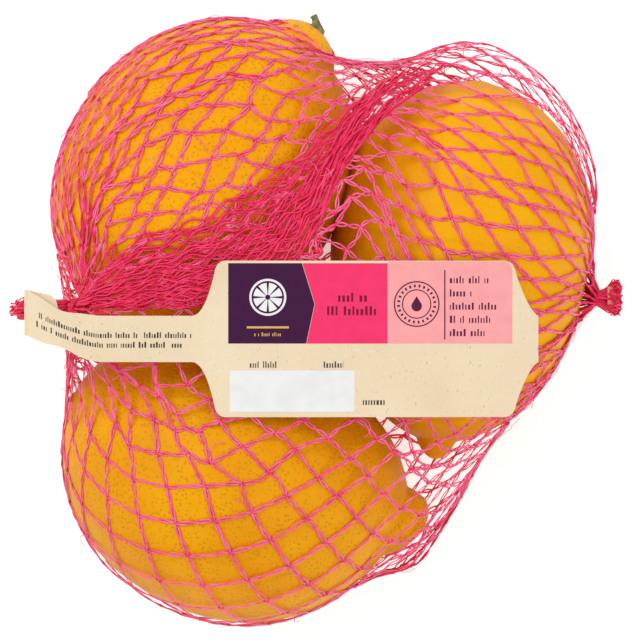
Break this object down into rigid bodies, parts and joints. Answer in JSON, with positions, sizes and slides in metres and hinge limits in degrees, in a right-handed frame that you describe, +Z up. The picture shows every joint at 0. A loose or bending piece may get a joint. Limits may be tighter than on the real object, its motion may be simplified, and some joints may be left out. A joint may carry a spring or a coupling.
{
  "type": "net_of_lemons",
  "caption": "Net bag of orange-yellow lemons in pink knitted mesh, gathered at both ends, lying on its side with a kraft paper band label across the top.",
  "frame": {"origin": "on the ground under the middle of the bag's bounding box", "axes": "+Z up from the ground; +X along the net tube, towards its short right-hand tuft; +Y towards the stem ends of the upper fruit"},
  "size_m": [0.1504, 0.1508, 0.0697],
  "materials": {
    "net_mesh": "fine knitted pink plastic mesh, slightly shiny",
    "lemon_skin": "waxy pored citrus skin, orange yellow",
    "weld_plastic": "melted plastic, peach",
    "dry_stem": "dry grey-green stem",
    "label_paper": "uncoated speckled kraft paper with flat printed blocks"
  },
  "bodies": {
    "root": {"net_bag": "net_mesh", "net_tail_left": "net_mesh", "net_tail_right": "net_mesh", "weld": "weld_plastic", "stem_button": "dry_stem", "label": "label_paper"}
  },
  "joints": []
}
